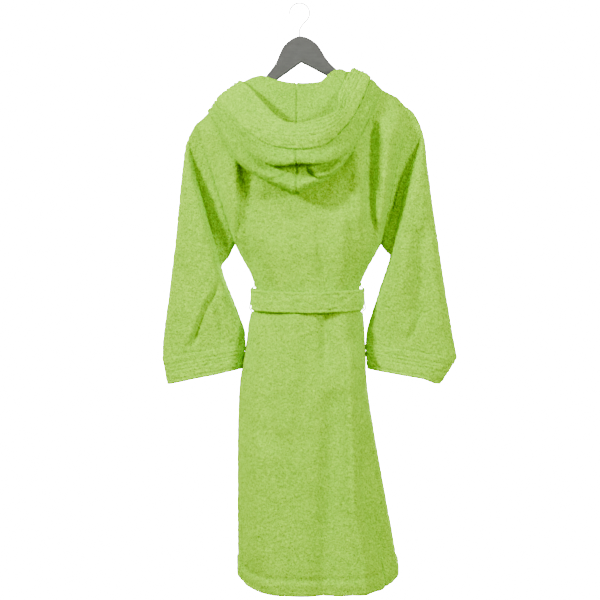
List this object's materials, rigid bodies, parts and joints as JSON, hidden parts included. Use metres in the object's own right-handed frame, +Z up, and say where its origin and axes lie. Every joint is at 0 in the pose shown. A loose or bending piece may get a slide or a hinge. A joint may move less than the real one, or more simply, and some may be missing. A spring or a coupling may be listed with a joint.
{
  "type": "hooded bath gown on a hanger",
  "caption": "Hooded terry bath gown with a tie belt, wide cuffed sleeves and patch pockets, hung on a wooden hanger whose steel hook swivels.",
  "frame": {"origin": "the highest inside point of the hook, where it sits on a rail or peg", "axes": "+Z up, +Y to the wearer's front, -X to the wearer's left, so the gown is seen from behind along +Y"},
  "size_m": [0.7017, 0.2882, 1.3997],
  "materials": {
    "terry": "lime green cotton terry with a soft looped pile",
    "terry_trim": "the same terry, doubled and stitched in rows",
    "cotton_tape": "plain woven cotton tape",
    "label_cloth": "blank white woven label",
    "hanger_wood": "grey matt paint on wood",
    "hook_steel": "plated round wire"
  },
  "bodies": {
    "hook": {"hanger_hook": "hook_steel", "hook_washer": "hook_steel"},
    "gown": {"hanger_body": "hanger_wood", "back_panel": "terry", "left_front_panel": "terry", "left_front_band": "terry_trim", "right_front_panel": "terry", "right_front_band": "terry_trim", "belt": "terry_trim", "belt_knot": "terry_trim", "left_belt_carrier": "terry_trim", "right_belt_carrier": "terry_trim", "left_pocket": "terry_trim", "right_pocket": "terry_trim", "neck_tape": "cotton_tape", "care_label": "label_cloth", "hanging_loop": "cotton_tape"},
    "left_sleeve": {"left_sleeve": "terry", "left_cuff": "terry_trim"},
    "right_sleeve": {"right_sleeve": "terry", "right_cuff": "terry_trim"},
    "hood": {"hood_left_half": "terry", "hood_right_half": "terry", "hood_band": "terry_trim"},
    "left_belt_tail": {"left_belt_tail": "terry_trim"},
    "right_belt_tail": {"right_belt_tail": "terry_trim"}
  },
  "joints": [
    {"name": "hanger_swivel", "type": "hinge", "parent": "hook", "child": "gown", "pos_m": [0, 0, -0.13], "axis": [0, 0, 1], "continuous": true},
    {"name": "left_sleeve_lift", "type": "hinge", "parent": "gown", "child": "left_sleeve", "pos_m": [-0.232, 0, -0.29], "axis": [0, 1, 0], "range_deg": [0, 50]},
    {"name": "right_sleeve_lift", "type": "hinge", "parent": "gown", "child": "right_sleeve", "pos_m": [0.25, 0, -0.247], "axis": [0, -1, 0], "range_deg": [0, 50]},
    {"name": "hood_lift", "type": "hinge", "parent": "gown", "child": "hood", "pos_m": [0, -0.028, -0.18], "axis": [-1, 0, 0], "range_deg": [0, 70]},
    {"name": "left_belt_tail_swing", "type": "hinge", "parent": "gown", "child": "left_belt_tail", "pos_m": [-0.008, 0.111, -0.741], "axis": [1, 0, 0], "range_deg": [0, 80]},
    {"name": "right_belt_tail_swing", "type": "hinge", "parent": "gown", "child": "right_belt_tail", "pos_m": [0.046, 0.111, -0.741], "axis": [1, 0, 0], "range_deg": [0, 80]}
  ]
}
